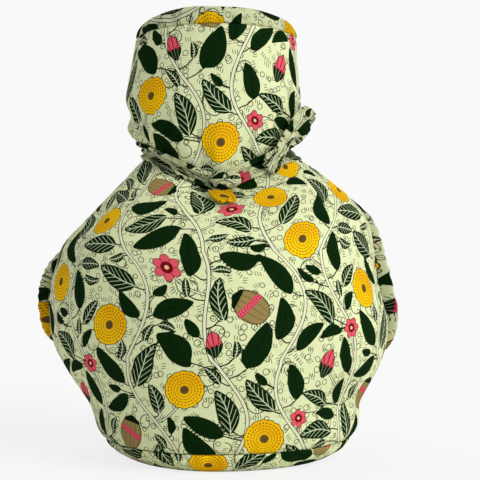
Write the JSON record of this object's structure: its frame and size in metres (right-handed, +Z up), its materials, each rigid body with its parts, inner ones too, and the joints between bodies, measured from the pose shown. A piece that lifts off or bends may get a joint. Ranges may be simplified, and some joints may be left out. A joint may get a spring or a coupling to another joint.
{
  "type": "tea cosy",
  "caption": "Hollow cloth teapot cover with a tie-gathered neck, an open crown with a banded rim, a drawn-in hem and bound side slots for spout and handle.",
  "frame": {"origin": "middle of the footprint, on the surface that the hem rests on", "axes": "+Z up through the crown, -Y towards the side with the knot, -X towards the spout, +X towards the handle"},
  "size_m": [0.2058, 0.1794, 0.2517],
  "materials": {
    "print": "printed plain-weave cotton, pale green ground with dark green leaves and small blooms",
    "band": "the same printed cotton, duller, cut across the print",
    "binding": "the same printed cotton, folded into a narrow binding",
    "tie": "the same printed cotton, crumpled into a narrow tie"
  },
  "bodies": {
    "root": {"front_panel": "print", "back_panel": "print", "hem_casing": "band", "rim_band": "band", "spout_binding": "binding", "handle_binding": "binding", "neck_tie": "tie", "tie_knot": "tie", "tie_ear": "tie", "tie_end": "tie"}
  },
  "joints": []
}
